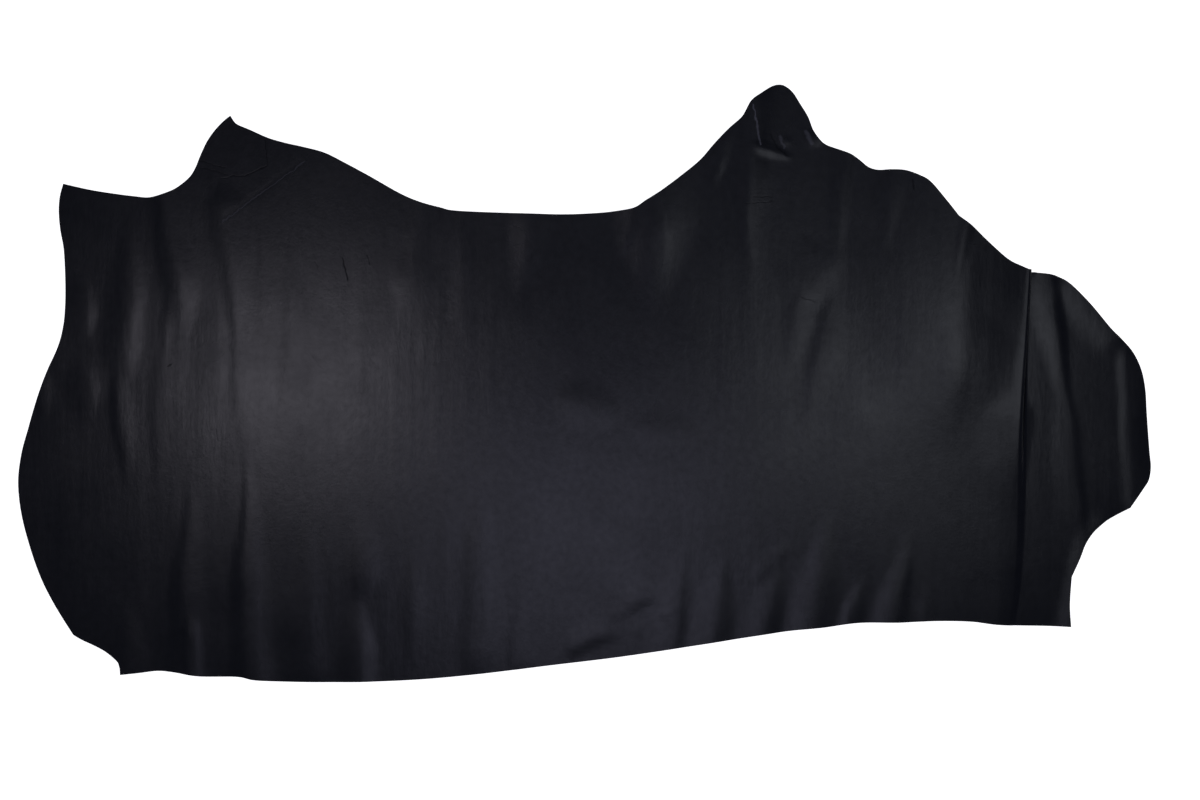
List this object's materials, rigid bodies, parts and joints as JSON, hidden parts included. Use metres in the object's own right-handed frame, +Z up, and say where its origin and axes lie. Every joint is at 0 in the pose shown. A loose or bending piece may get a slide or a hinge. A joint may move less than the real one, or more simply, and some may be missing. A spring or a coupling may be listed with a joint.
{
  "type": "leather hide",
  "caption": "Side of smooth black cowhide leather, half a hide cut along the backbone, lying grain side up with soft ripples, neck folds and a pleat at the shoulder.",
  "frame": {"origin": "on the floor, under the middle of the hide's length and width", "axes": "+X along the hide from the butt to the neck, +Y from the backbone cut to the belly edge, +Z up from the floor through the flesh side to the grain side"},
  "size_m": [2.2639, 1.1943, 0.02],
  "materials": {
    "hide_leather": "semi-gloss full grain, black dyed"
  },
  "bodies": {
    "root": {"hide": "hide_leather"}
  },
  "joints": []
}
